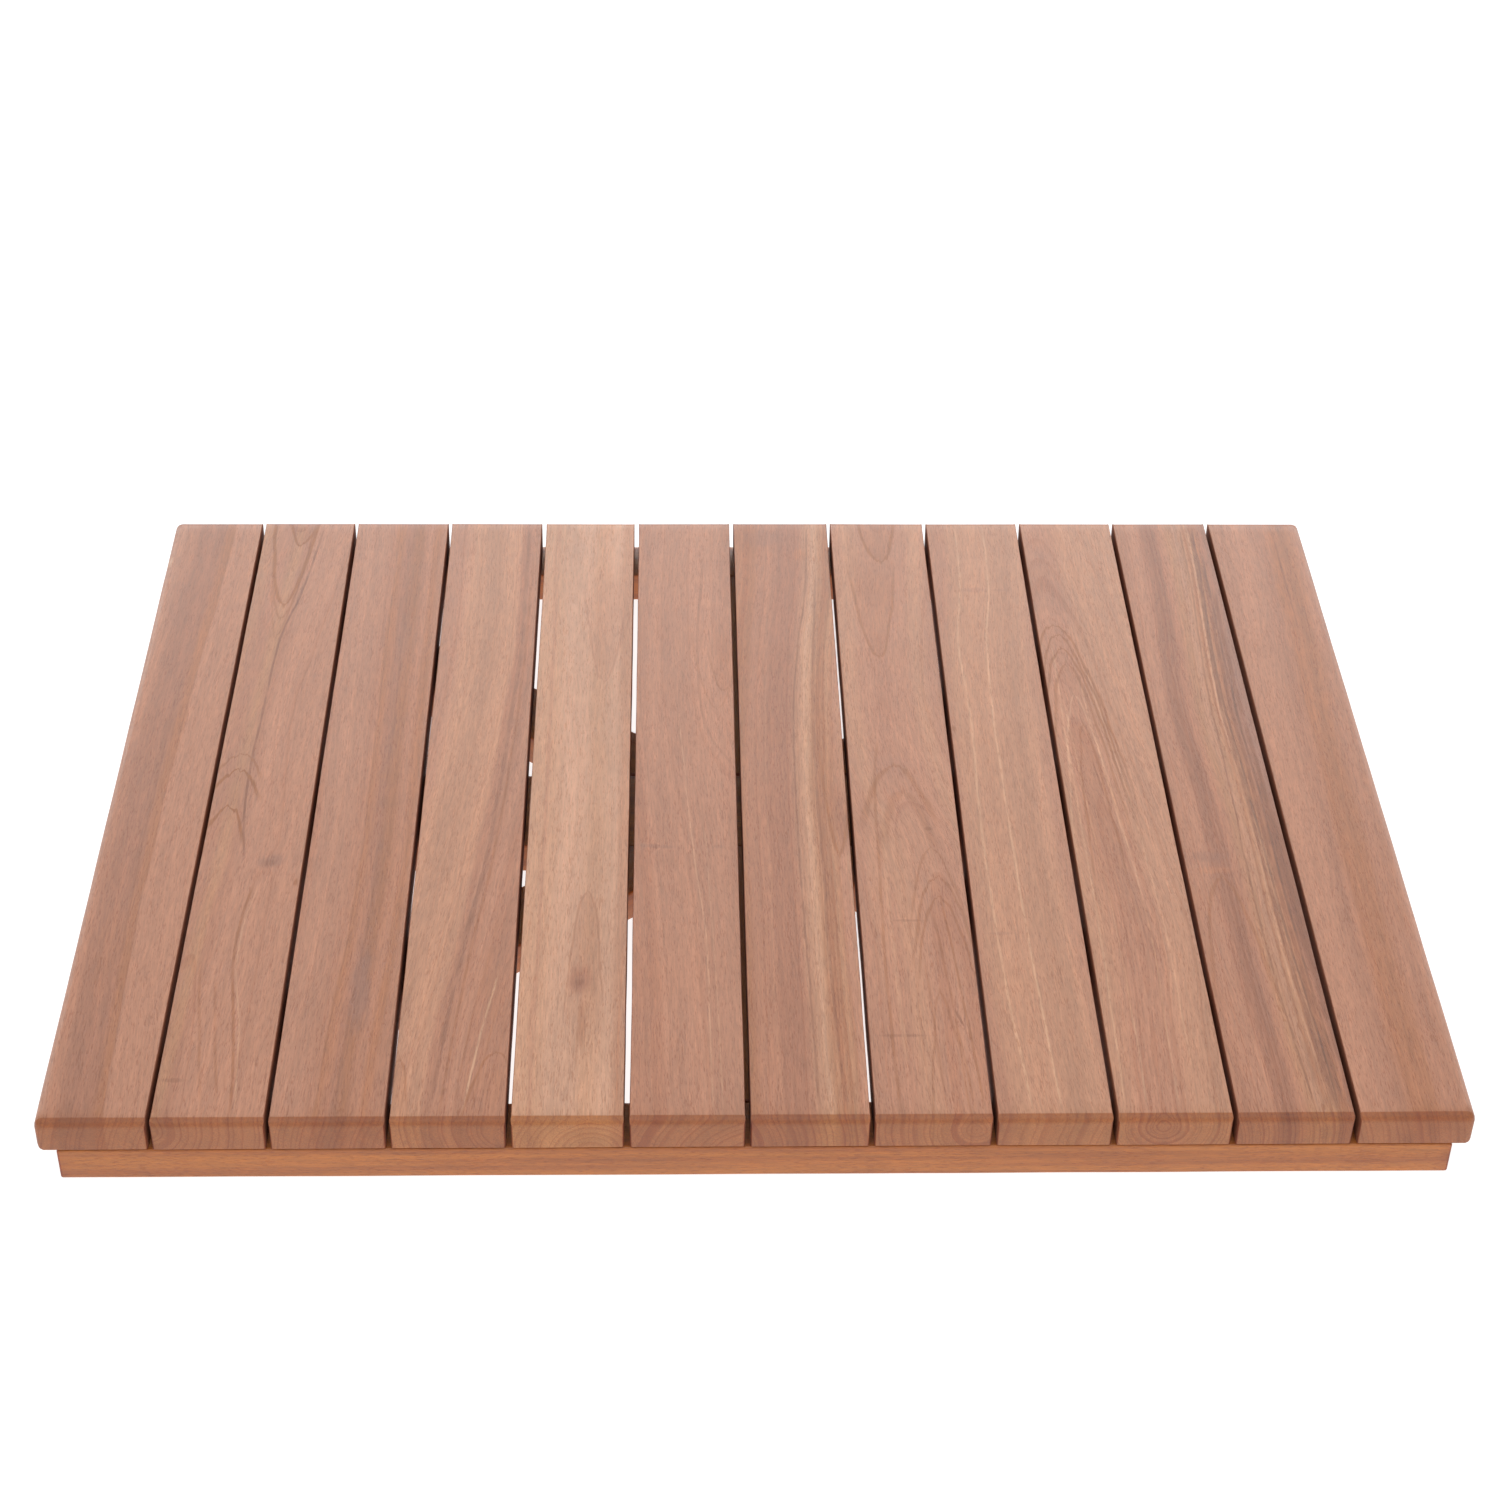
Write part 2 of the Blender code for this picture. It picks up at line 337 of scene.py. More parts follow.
def figure_group():
    """Growth rings, fibres and pores of a plank cut out of a log.

    The log's heart runs along the plank at X = 0 and 'Heart Depth' under the
    origin, so the plank's faces cut its rings into lines, arches and end arcs.
    """
    tree, b, given, out = new_group(
        "teak_figure",
        {"Vector": None, "Heart Depth": 0.03, "Ring": 0.004, "Wander": 0.003,
         "Push": 0.0, "Seed": 0.0},
        ("Late Wood", "Year", "Band", "Fibre", "Pores", "Weave"))
    x, y, z = b.split(given["Vector"])
    seed = given["Seed"]

    slow = b.noise(b.along_grain(x, y, z, seed, across=12.0, along=8.0), 1.0, 2.0)
    slow_x, slow_y, _ = b.split(slow["Color"])
    quick = b.noise(b.along_grain(x, y, z, seed, across=110.0, along=22.0), 1.0, 3.0)
    quick_x, quick_y, _ = b.split(quick["Color"])
    sway = b.add(b.times(b.less(slow_x, 0.5), given["Wander"]),
                 b.times(b.less(quick_x, 0.5), SHIVER))
    dip = b.add(b.times(b.less(slow_y, 0.5), given["Wander"]),
                b.times(b.less(quick_y, 0.5), SHIVER))

    across = b.add(x, sway)
    below = b.add(b.add(z, given["Heart Depth"]), dip)
    radius = b.maths("SQRT", b.add(b.times(across, across), b.times(below, below)))
    growth = b.add(b.maths("DIVIDE", b.add(radius, given["Push"]), given["Ring"]), seed)
    uneven = b.noise(None, 0.45, 1.0, dimensions="1D", w=growth)["Fac"]
    growth = b.add(growth, b.times(uneven, UNEVEN_YEARS))

    part = b.maths("FRACT", growth)
    year = b.node("ShaderNodeTexWhiteNoise", noise_dimensions="1D")
    b.feed(year.inputs["W"], b.maths("FLOOR", growth))
    late = b.times(b.between(part, 0.50, 0.93), b.between(part, 1.0, 0.95))
    b.feed(out["Late Wood"], late)
    b.feed(out["Year"], year.outputs["Value"])
    b.feed(out["Band"], b.noise(None, 0.31, 2.0, dimensions="1D", w=growth)["Fac"])

    fibre_way = b.along_grain(across, y, z, seed, across=1100.0, along=90.0)
    b.feed(out["Fibre"], b.noise(fibre_way, 1.0, 3.0, 0.7)["Fac"])
    weave_way = b.along_grain(across, y, z, seed, across=170.0, along=9.0)
    b.feed(out["Weave"], b.noise(weave_way, 1.0, 3.0, 0.6)["Fac"])

    pore_way = b.join(b.times(across, 2900.0), b.times(b.add(y, seed), 270.0),
                      b.times(z, 2900.0))
    dots = b.noise(pore_way, 1.0, 1.0)["Fac"]
    patchy = b.noise(b.join(b.times(across, 260.0), b.add(b.times(y, 30.0), seed), z),
                     1.0, 2.0)["Fac"]
    crowd = b.between(patchy, 0.30, 0.70, 0.62, 0.50, "LINEAR")
    b.feed(out["Pores"], b.between(dots, crowd, b.add(crowd, 0.10)))
    return tree


def mark_group():
    """A soft-edged lens-shaped mark on a plank's face, longer along the grain."""
    tree, b, given, out = new_group(
        "teak_mark",
        {"Vector": None, "Across": 0.0, "Along": 0.0, "Half Width": 0.005,
         "Half Length": 0.01, "Soft": 0.5, "Ragged": 0.3, "Tilt": 0.0},
        ("Mask", "Bulge"))
    x, y, z = b.split(given["Vector"])
    y_off = b.less(y, given["Along"])
    x_off = b.less(b.less(x, given["Across"]), b.times(y_off, given["Tilt"]))
    wave = b.noise(b.join(b.times(x, 240.0), b.times(y, 60.0), b.times(z, 240.0)), 1.0, 3.0)
    rough = b.times(b.less(wave["Fac"], 0.5), given["Ragged"])
    u = b.maths("DIVIDE", x_off, given["Half Width"])
    v = b.maths("DIVIDE", y_off, given["Half Length"])
    distance = b.maths("SQRT", b.add(b.times(u, u), b.times(v, v)))
    distance = b.add(distance, b.times(rough, 2.0))
    b.feed(out["Mask"], b.between(distance, 1.0, b.less(1.0, given["Soft"])))
    square = b.times(distance, distance)
    b.feed(out["Bulge"], b.maths("EXPONENT", b.times(square, -0.5)))
    return tree


def vein_group():
    """A thin line that runs the length of a plank, at a place across it."""
    tree, b, given, out = new_group(
        "teak_vein",
        {"Across": 0.0, "Along": 0.0, "Place": 0.0, "Width": 0.0004,
         "Start": -1.0, "Stop": 1.0, "Seed": 0.0},
        ("Mask",))
    along = b.join(b.add(b.times(given["Along"], 30.0), given["Seed"]), given["Seed"], 0.0)
    ripple = b.times(b.less(b.noise(along, 1.0, 3.0)["Fac"], 0.5), 0.0016)
    gap = b.maths("ABSOLUTE", b.add(b.less(given["Across"], given["Place"]), ripple))
    line = b.between(gap, given["Width"], b.times(given["Width"], 0.3))
    fade = b.noise(along, 2.1, 2.0)["Fac"]
    line = b.times(line, b.between(fade, 0.25, 0.6, 0.35, 1.0))
    near = b.between(given["Along"], given["Start"], b.add(given["Start"], 0.02))
    far = b.between(given["Along"], given["Stop"], b.less(given["Stop"], 0.02))
    b.feed(out["Mask"], b.times(line, b.times(near, far)))
    return tree


def arch_group():
    """The line of one ring that closes in an arch on a plank's face.

    'Reach' is how far behind its tip the arch is twice 'Half Width' wide; below
    zero the arch opens towards the front end.
    """
    tree, b, given, out = new_group(
        "teak_arch",
        {"Across": 0.0, "Along": 0.0, "Tip Across": 0.0, "Tip Along": 0.0,
         "Half Width": 0.008, "Reach": 0.04, "Line": 0.0006, "Seed": 0.0},
        ("Mask", "Inside"))
    x, y = given["Across"], given["Along"]
    teeth = b.noise(b.join(b.times(x, 420.0), b.times(y, 16.0), given["Seed"]), 1.0, 2.0)["Fac"]
    bend = b.noise(b.join(b.times(x, 90.0), b.times(y, 25.0), given["Seed"]), 1.0, 2.0)["Fac"]
    y = b.add(y, b.times(b.less(teeth, 0.5), 0.009))
    x = b.add(x, b.times(b.less(bend, 0.5), 0.004))
    u = b.maths("ABSOLUTE", b.maths("DIVIDE", b.less(x, given["Tip Across"]), given["Half Width"]))
    v = b.maths("DIVIDE", b.less(y, given["Tip Along"]), given["Reach"])
    within = b.less(b.maths("SQRT", b.maths("MAXIMUM", v, 0.0)), u)
    within = b.add(within, b.times(b.maths("MINIMUM", v, 0.0), 1.2))
    gap = b.times(b.maths("ABSOLUTE", within), given["Half Width"])
    line = b.between(gap, given["Line"], b.times(given["Line"], 0.25))
    fade = b.between(v, 2.6, 1.2)
    b.feed(out["Mask"], b.times(line, fade))
    inside = b.between(b.times(within, given["Half Width"]), 0.0, 0.0015)
    b.feed(out["Inside"], b.times(inside, b.between(v, 3.0, 1.5)))
    return tree


# --------------------------------------------------------------------- finishes

# Colours that the teak shows, in linear light.
PALE = (0.520, 0.275, 0.170)
STRAW = (0.490, 0.248, 0.142)
TAN = (0.450, 0.213, 0.120)
PINK = (0.420, 0.187, 0.107)
ROSE = (0.390, 0.165, 0.090)
BROWN = (0.360, 0.140, 0.062)
MAUVE = (0.345, 0.142, 0.077)
OLIVE = (0.410, 0.188, 0.095)
GREY = (0.300, 0.135, 0.085)
UMBER = (0.230, 0.082, 0.036)
BARK = (0.300, 0.100, 0.026)
SOOT = (0.130, 0.050, 0.025)
AMBER = (0.330, 0.110, 0.030)
CREAM = (0.600, 0.350, 0.210)
ORANGE = (0.460, 0.180, 0.080)
RAIL_LIGHT = (0.435, 0.135, 0.018)
RAIL_DARK = (0.335, 0.092, 0.013)
# What late wood, pores, the end grain and the painted shade on the boards' long sides in the gaps
# keep of the face's colour; the darkening of the rounded ends is partly end grain and partly painted
# shade.
LATE_WOOD = (0.78, 0.60, 0.44)
PORE_WOOD = (0.70, 0.50, 0.34)
GAP_SIDE_SHADE = (0.60, 0.40, 0.24)
ROUNDED_END_GRAIN_AND_SHADE = (0.74, 0.48, 0.18)
SAWN_END = (0.78, 0.58, 0.29)
STEEL_DARK = (0.56, 0.56, 0.55)
STEEL_LIGHT = (0.70, 0.69, 0.67)


def level(value):
    """A course that stays the same at all nine stations."""
    return (value,) * 9


# How each board was sawn and what shows on its face, in millimetres. Courses have
# nine stations along the board from the front end to the rear end.
# stops: colour across the board, 0 at its left edge and 1 at its right.
# flow: sideways drift of the grain. axis: the log's heart, across from the board's
# middle. deep: how far the heart lies under the face. ring: one year's growth.
# wander: how far the rings stray. late: how strongly the late wood shows.
# marks: across, along, half width, half length, colour, strength, tilt.
# lines: sideways course of a fine line, width, colour, strength, start, stop.
# arches: tip across, tip along, half width, reach, line width, colour, strength, inside.
BOARDS = (
    dict(stops=((0.0, PINK), (0.08, ROSE), (0.22, MAUVE), (0.42, MAUVE), (0.50, BROWN),
                (0.545, BROWN), (0.57, PINK), (0.80, PINK), (1.0, PINK)),
         flow=(3.5, 1.8, 0, 0, 0.2, 1.5, 4, 6, 6.5), axis=70,
         deep=level(30), ring=3.2, wander=3, late=0.22,
         marks=((-18, 25, 4, 16, GREY, 0.30, 0.0), (-21.5, 190, 2.5, 7, CREAM, 0.4, 0.0),
                (-13, 150, 8, 34, GREY, 0.22, 0.0), (-8, -120, 6, 50, BROWN, 0.25, 0.0)),
         arches=(),
         lines=(((5.6, 3.9, 2.1, 2.1, 2.3, 3.6, 6.1, 8.1, 8.6), 0.62, UMBER, 0.29, -228, 228),
                ((1, 0, -2, -3, -3, -2, 0, 1, 1), 0.62, UMBER, 0.33, -228, 60))),
    dict(stops=((0.0, OLIVE), (0.30, ROSE), (0.44, OLIVE), (0.52, ROSE), (0.62, PINK),
                (0.85, PINK), (1.0, PINK)),
         flow=(-19, -17, -14, -11, -9.5, -8, -5, -2.5, 0), axis=-6,
         deep=(5, 10, 15, 19, 24, 27, 24, 19, 13), ring=3.3, wander=2.5, late=0.55,
         marks=((9.5, -58, 10, 6.5, GREY, 0.60, 0.45), (8.5, -59, 4.5, 3.5, UMBER, 0.45, 0.3),
                (4, -66, 6, 8, ROSE, 0.5, 0.3),
                (22, -73, 1.6, 4, AMBER, 0.8, 0.0), (-17, -203, 7, 2.0, UMBER, 0.50, 0.0),
                (16, 88, 4, 3, GREY, 0.25, 0.0), (-14, 6, 9, 9, ROSE, 0.4, 0.0)),
         arches=((-6.9, 150, 9.5, 53, 1.38, BARK, 0.95, 0), (-7.4, 138, 9, 60, 1, BARK, 0.54, 0),
                 (-7.9, 122, 8, 60, 0.75, BARK, 0.41, 0),
                 (-2.9, 205, 6.75, 18, 1.5, BARK, 0.95, 0.25),
                 (-13.9, 11, 8, -10, 1.62, BARK, 0.94, 0), (-13.9, 24, 8, -10, 1.12, BARK, 0.61, 0),
                 (-15.9, -18, 7, -12, 1.5, BARK, 0.94, 0)),
         lines=(((20, 20, 20, -3, -8.5, -7.3, -5.6, 3, 8.2), 0.88, UMBER, 0.91, -60, 228),
                ((10, 5, -0.6, 6, 20, 20, 20, 20, 20), 1, BARK, 0.72, -228, -62),
                ((-2, -10, -16, -20, -22, -22, -22, -22, -22), 1, BARK, 0.52, -228, -120),
                ((5, -3, -9, -12, -14, -14, -14, -14, -14), 1, BARK, 0.45, -228, -130),
                ((12, 7, 1.1, 9, 20, 20, 20, 20, 20), 0.6, CREAM, 0.35, -228, -70))),
    dict(stops=((0.0, ROSE), (0.10, PINK), (0.30, PINK), (0.47, ROSE), (0.505, BROWN),
                (0.62, MAUVE), (0.74, BROWN), (0.84, ROSE), (0.93, BROWN), (1.0, ROSE)),
         flow=(-5.5, -4, -1, 0.5, 0.2, -0.3, -0.8, -1, -1.5), axis=66,
         deep=level(26), ring=2.6, wander=3, late=0.30,
         marks=((7.5, -145, 6, 38, GREY, 0.88, -0.04), (8, 120, 4.5, 36, GREY, 0.30, 0.0),
                (9, 6, 9, 3, BROWN, 0.4, 0.0), (14, -60, 6, 60, BROWN, 0.25, 0.0)),
         arches=(),
         lines=(((-5.5, -4, -1, 0.5, 0.2, -0.3, -0.8, -1, -1.5), 0.62, UMBER, 0.36, -228, 228),
                ((3, 4, 7, 8, 8, 8, 7, 7, 7), 0.88, UMBER, 0.34, -228, 170))),
    dict(stops=((0.0, PINK), (0.18, TAN), (0.45, TAN), (0.62, TAN), (0.70, ROSE),
                (0.74, PINK), (0.82, ROSE), (0.90, PINK), (1.0, ROSE)),
         flow=(-19, -16, -10, -5, 0, 3.5, 6.5, 7, 7), axis=44,
         deep=(4, 9, 14, 20, 22, 24, 24, 24, 24), ring=3.4, wander=4, late=0.42,
         marks=((-16, 205, 7, 16, GREY, 0.22, 0.0), (-19, -191, 3, 12, ROSE, 0.4, 0.15),
                (19, -205, 8, 16, BROWN, 0.35, 0.0), (17, -150, 8, 30, BROWN, 0.25, -0.1)),
         arches=((18.3, -186, 9, -22, 1, BARK, 0.54, 0),
                 (-22.7, -191, 4, -14, 1.12, BARK, 0.54, 0.3)),
         lines=(((-8, -4, 1.5, 8, 12, 15, 18, 18, 18), 1.62, UMBER, 0.59, -228, 228),
                ((-4, 0, 5, 11, 15, 18, 20, 20.5, 20.5), 1, BARK, 0.52, -228, 200),
                ((5.5, 12, 20, 25, 25, 25, 25, 25, 25), 0.7, CREAM, 0.65, -228, -128),
                ((1.5, 6.5, 14, 20, 25, 25, 25, 25, 25), 0.75, BROWN, 0.65, -228, -90),
                ((9, 16, 25, 25, 25, 25, 25, 25, 25), 0.75, BROWN, 0.59, -228, -150))),
    dict(stops=((0.0, STRAW), (0.13, STRAW), (0.155, TAN), (0.19, STRAW), (0.35, PALE),
                (0.52, PALE), (0.64, STRAW), (0.84, PALE), (0.93, TAN), (1.0, TAN)),
         flow=(0, -0.5, 0, 0.5, 0.5, 0, -0.5, -1, 0), axis=10,
         deep=(20, 24, 27, 30, 31, 29, 24, 20, 17), ring=3.0, wander=1.8, late=0.16,
         marks=((10, 150, 7.5, 70, ROSE, 0.20, 0.0), (3.6, -140, 8.5, 12, ROSE, 0.95, 0.0),
                (3.2, -142, 5.4, 6.4, GREY, 0.55, 0.0), (3.2, -142, 2.6, 3.2, UMBER, 0.75, 0.0),
                (4.6, -168, 2.0, 22, BROWN, 0.55, 0.0), (9, 225, 5, 22, BROWN, 0.25, 0.0)),
         arches=((9.8, 83, 7.5, 40, 0.9, ROSE, 0.6, 0.28),
                 (5.2, -80, 6.0, -38, 0.9, BROWN, 0.6, 0.30)),
         lines=(((3, 3, 4, 4, 4, 4, 4, 4, 4), 0.7, AMBER, 0.45, -205, -150),
                (level(-16), 0.9, PINK, 0.5, -228, 228),
                ((21, 21, 22, 22, 22, 22, 22, 22, 22), 0.7, ORANGE, 0.5, -228, -110))),
    dict(stops=((0.0, ROSE), (0.20, PINK), (0.45, PINK), (0.60, PINK), (0.85, PINK), (1.0, ROSE)),
         flow=(6, 4.5, 2.5, 0, -1.5, -2.5, -3, -2, 0), axis=24,
         deep=(30, 29, 28, 27, 24, 17, 13, 11, 10), ring=3.6, wander=3, late=0.34,
         marks=((-14, -47.5, 11, 2.4, GREY, 0.60, -2.6), (-16, 205, 7, 18, GREY, 0.22, 0.0),
                (15, -48, 4, 1.8, GREY, 0.35, 0.0), (-8, -56, 14, 8, MAUVE, 0.25, 0.0)),
         arches=((19.2, 75, 5, 16, 0.88, BARK, 0.47, 0.2), (16.2, 60, 9, 30, 0.75, BARK, 0.34, 0)),
         lines=(((11, 10, 9, 4, 0, -3, -5, -6, -6), 0.5, CREAM, 0.4, -228, 60),
                ((15, 14, 12, 10, 6, 2, 0, 0, 0), 0.5, CREAM, 0.3, -228, -20),
                ((32, 32, 32, 32, 26, 8.5, 6.5, 9, 12), 1, UMBER, 0.39, -10, 200))),
    dict(stops=((0.0, BROWN), (0.10, ROSE), (0.24, ROSE), (0.275, MAUVE), (0.44, MAUVE),
                (0.48, ROSE), (0.55, TAN), (0.64, STRAW), (0.70, OLIVE), (0.76, BROWN),
                (0.84, OLIVE), (0.93, PINK), (1.0, TAN)),
         flow=(2, 1, 0.5, 0, -0.5, 1, 4, 9, 11), axis=-50,
         deep=level(18), ring=2.7, wander=4, late=0.45,
         marks=((-9, 212, 17, 11, GREY, 0.45, 0.0), (10, 196, 5, 8, ORANGE, 0.45, 0.0),
                (21, -26, 5.5, 34, MAUVE, 0.75, -0.10), (-7, 190, 15, 6, ROSE, 0.5, 0.0)),
         arches=((20.2, -54, 5, 40, 1.5, BARK, 0.68, 0.25),),
         lines=(((16, 13.5, 12, 12, 11, 12, 14, 17, 19), 1, UMBER, 0.52, -228, 200),
                ((4, 3, 2, 1, 1, 2, 6, 12, 14), 0.75, UMBER, 0.59, -228, 228),
                ((9, 8, 6.5, 6, 5.5, 7, 10, 15, 17), 0.8, PALE, 0.5, -228, 228),
                ((20, 17, 16, 16, 16, 17, 19, 21, 22), 0.75, BROWN, 0.65, -228, 120),
                ((-11, -13, -13, -13, -13, -12, -10, -9, -9), 0.6, TAN, 0.35, -228, 180))),
    dict(stops=((0.0, PINK), (0.14, TAN), (0.35, PINK), (0.50, PINK), (0.70, PINK),
                (0.88, TAN), (1.0, PINK)),
         flow=(18, 16, 15, 11, 1, -4, -4, -1, 1), axis=0,
         deep=(6, 7, 8, 12, 22, 29, 29, 25, 19), ring=3.1, wander=3.5, late=0.42,
         marks=((10.6, -35, 2.6, 2.2, UMBER, 0.6, 0.0), (-3, -101, 10, 1.2, UMBER, 0.38, 0.0),
                (-10, -177, 14, 1.5, UMBER, 0.42, 0.0), (15.6, -167, 0.9, 8, UMBER, 0.7, -0.3),
                (-4.5, 70, 6.5, 50, MAUVE, 0.42, 0.0), (-6, 12, 13, 12, GREY, 0.28, 0.0),
                (-16, -80, 6, 90, TAN, 0.5, 0.0)),
         arches=((-0.1, 190, 9, 30, 1.5, BARK, 0.81, 0.22),
                 (-5.1, 103, 8.3, 39, 1.25, BARK, 0.68, 0.22), (-4.1, 88, 12, 60, 0.7, ROSE, 0.4, 0),
                 (-3.1, 13, 12, -22, 2.5, BARK, 0.54, 0), (-0.1, -8, 9, -22, 3.6, BARK, 0.34, 0),
                 (1.9, -22, 8, -26, 1, TAN, 0.6, 0.35), (10.9, -50, 9, -26, 1, BARK, 0.47, 0),
                 (11.9, -71, 10, -28, 1.12, BARK, 0.54, 0), (11.9, -85, 9, -28, 1, BARK, 0.54, 0),
                 (7.9, -150, 7, -60, 0.88, BARK, 0.41, 0)),
         lines=(((-14, -15, -15, -14, -13, -8, -8, -12, -14), 1.12, BARK, 0.59, -228, 40),
                ((22, 19, 15, 11, 8, 8, 8, 8, 8), 0.88, BARK, 0.65, -228, -70),
                ((18, 14, 10, 6, 3, 3, 3, 3, 3), 0.88, BARK, 0.52, -228, -90),
                ((-9, -10, -11, -11, -9, -4, -4, -4, -4), 1.6, STRAW, 0.6, -200, -10),
                ((6, 4, 2, 0, 0, 0, 0, 0, 0), 0.88, BROWN, 0.65, -228, -120))),
    dict(stops=((0.0, PINK), (0.12, TAN), (0.40, TAN), (0.55, TAN), (0.80, TAN), (1.0, PINK)),
         flow=(5, 2, 0, -0.5, -0.7, -0.5, 1, 5, 6), axis=90,
         deep=level(30), ring=4.8, wander=2, late=0.12,
         marks=((-3, 163, 9, 3.2, GREY, 0.42, 0.0), (10, 163, 5, 1.4, GREY, 0.25, 0.0),
                (-23, 43, 1.5, 3.0, AMBER, 0.8, 0.0), (-14, -110, 10, 1.5, GREY, 0.32, 0.0),
                (-9, 130, 16, 3, BROWN, 0.15, 0.0)),
         arches=(),
         lines=(((-9, -12.5, -14.8, -15.5, -15, -14, -15, -10.2, -9.2), 0.8, CREAM, 0.55, -228, 228),
                ((3.3, 1, -0.9, -2, -2.4, -2.2, -0.5, 5, 5.8), 0.7, CREAM, 0.6, -228, 228))),
    dict(stops=((0.0, TAN), (0.14, TAN), (0.35, PINK), (0.60, PINK), (0.80, TAN), (1.0, TAN)),
         flow=(-5, -3, -1, -5, -9, -14, -16, -17, -18), axis=0,
         deep=(5, 5, 5, 6, 8, 11, 17, 24, 29), ring=2.2, wander=2, late=0.42,
         marks=((-7, 5, 0.8, 17, UMBER, 0.6, -0.10), (3, -122, 1.5, 22, MAUVE, 0.6, -0.08),
                (1, -95, 2.5, 8, BROWN, 0.3, 0.0), (-10, 150, 12, 30, GREY, 0.16, 0.0)),
         arches=((-15.6, 131, 17, -66, 1.12, BARK, 0.74, 0),
                 (-14.6, 122, 15.5, -66, 1, BARK, 0.74, 0),
                 (-13.6, 110, 14, -66, 1, BARK, 0.74, 0),
                 (-13.1, 97, 12, -66, 1.12, BARK, 0.61, 0.1),
                 (-11.6, 70, 9, -66, 0.7, CREAM, 0.35, 0),
                 (-9.6, 46, 6, -66, 1, BARK, 0.54, 0.12), (2.4, -104, 3, -16, 0.9, MAUVE, 0.6, 0)),
         lines=(((-21, -20, -19, -19, -19, -19, -18, -18, -18), 0.7, CREAM, 0.4, -228, 120),
                ((2, 3, 4, 2, -2, -6, -9, -11, -11), 0.6, CREAM, 0.4, -228, 90),
                ((-12, -11, -11, -13, -15, -17, -18, -18, -18), 0.6, CREAM, 0.45, -228, 70),
                ((10, 11, 11, 9, 5, 0, -4, -6, -6), 0.6, CREAM, 0.3, -200, 100))),
    dict(stops=((0.0, ROSE), (0.10, PINK), (0.20, PINK), (0.26, MAUVE), (0.40, MAUVE),
                (0.46, ROSE), (0.55, OLIVE), (0.62, TAN), (0.68, OLIVE), (0.75, OLIVE),
                (0.82, BROWN), (0.90, MAUVE), (1.0, GREY)),
         flow=(5, 3, 1, 1, -1, -3, -1, 1, 1.5), axis=-62,
         deep=level(16), ring=2.1, wander=5, late=0.55,
         marks=((-13, -56, 13, 5, GREY, 0.50, 0.0), (-12, -66, 12, 3.5, ORANGE, 0.4, 0.0),
                (22, -70, 6, 110, UMBER, 0.80, -0.02), (17, 60, 3, 60, UMBER, 0.35, 0.0),
                (16, -195, 8, 36, UMBER, 0.45, 0.0),
                (-3, -150, 5, 40, GREY, 0.30, 0.05)),
         arches=((-9.9, -72, 10, -40, 1.5, BARK, 0.47, 0),),
         lines=(((18, 15, 13, 12, 12, 10, 12, 15, 17), 1.38, UMBER, 0.78, -228, 228),
                ((21, 19, 17, 16, 16, 15, 16, 18, 20), 1.38, UMBER, 0.78, -228, 200),
                ((14, 11, 9, 9, 9, 8, 9, 12, 13), 1, BROWN, 0.78, -228, 228),
                ((16, 13, 11, 11, 10.5, 9, 10.5, 13.5, 15), 0.8, STRAW, 0.7, -228, 228),
                ((24, 24, 22, 21, 21, 20, 20, 21, 22), 1.62, UMBER, 0.80, -228, 170),
                ((19, 17.5, 15, 14, 13.5, 12, 13, 16, 18), 0.8, SOOT, 0.55, -228, 228),
                ((22.5, 21, 19, 18.5, 18.5, 17.5, 18, 19, 21), 0.9, SOOT, 0.60, -200, 200),
                ((9, 6, 4, 4, 5, 5, 7, 10, 11), 0.7, UMBER, 0.60, -228, 228),
                ((3, 2, 1, 2, 4, 5, 6, 7, 7), 0.6, AMBER, 0.35, 40, 100))),
    dict(stops=((0.0, PINK), (0.30, PINK), (0.42, ROSE), (0.52, BROWN), (0.68, BROWN),
                (0.80, ROSE), (0.90, ROSE), (1.0, PINK)),
         flow=(-2, -2, -2, -1, 0, 1.5, 4, 6, 7), axis=-84,
         deep=level(30), ring=3.2, wander=2.5, late=0.20,
         marks=((4, -40, 6, 70, BROWN, 0.22, 0.0), (16, -90, 6, 26, BROWN, 0.25, 0.0),
                (-6, -60, 3, 40, GREY, 0.12, 0.0)),
         arches=(),
         lines=(((4, 4, 4, 4, 5, 6, 8, 8.6, 9), 0.75, UMBER, 0.59, 120, 225),
                ((-2, -2, -2, -1, 0, 1, 3, 5, 6), 0.62, UMBER, 0.29, -228, 100))),
)
# Farthest that a course strays, in millimetres. Marks stronger than STRONG_MARK bend
# the rings round them.
COURSE_REACH = 32.0
STRONG_MARK = 0.5

# Sanded and oiled finish: gloss, shade from dark to light, roughness and relief.
SHEEN_LEVEL = 0.8
BAND_SHADE = (1.02, 1.14)
CLOUD_SHADE = (0.97, 1.13)
FIBRE_SHADE = (0.80, 1.20)
PORE_SHARE = 0.60
END_LATE_SHARE = 0.55
ROUGHNESS = (0.36, 0.46)
END_ROUGHER = 0.10
EDGE_ROUGHER = 0.40
LATE_WOOD_RISE = 0.25
RELIEF = 0.1 * MM
BOARD_BUMP = 0.5
FRAME_BUMP = 0.6
FRAME_LATE_SHARE = 0.35
STREAK = 0.13
BOARD_SEED_STEP = 7.3

FIGURE = figure_group()
MARK = mark_group()
VEIN = vein_group()
ARCH = arch_group()


def opaque(colour):
    return (*colour, 1.0)


def course(bench, along, stations):
    """A value in metres that changes along a board, from nine stations in millimetres."""
    made = bench.node("ShaderNodeFloatCurve")
    bench.feed(made.inputs["Value"], bench.between(along, -HALF_BOARD, HALF_BOARD, kind="LINEAR"))
    curve = made.mapping.curves[0]
    for _ in range(len(stations) - 2):
        curve.points.new(0.5, 0.5)
    for index, value in enumerate(stations):
        curve.points[index].location = (index / (len(stations) - 1),
                                        0.5 + value / (2 * COURSE_REACH))
    made.mapping.update()
    return bench.times(bench.less(made.outputs[0], 0.5), 2 * COURSE_REACH * MM)


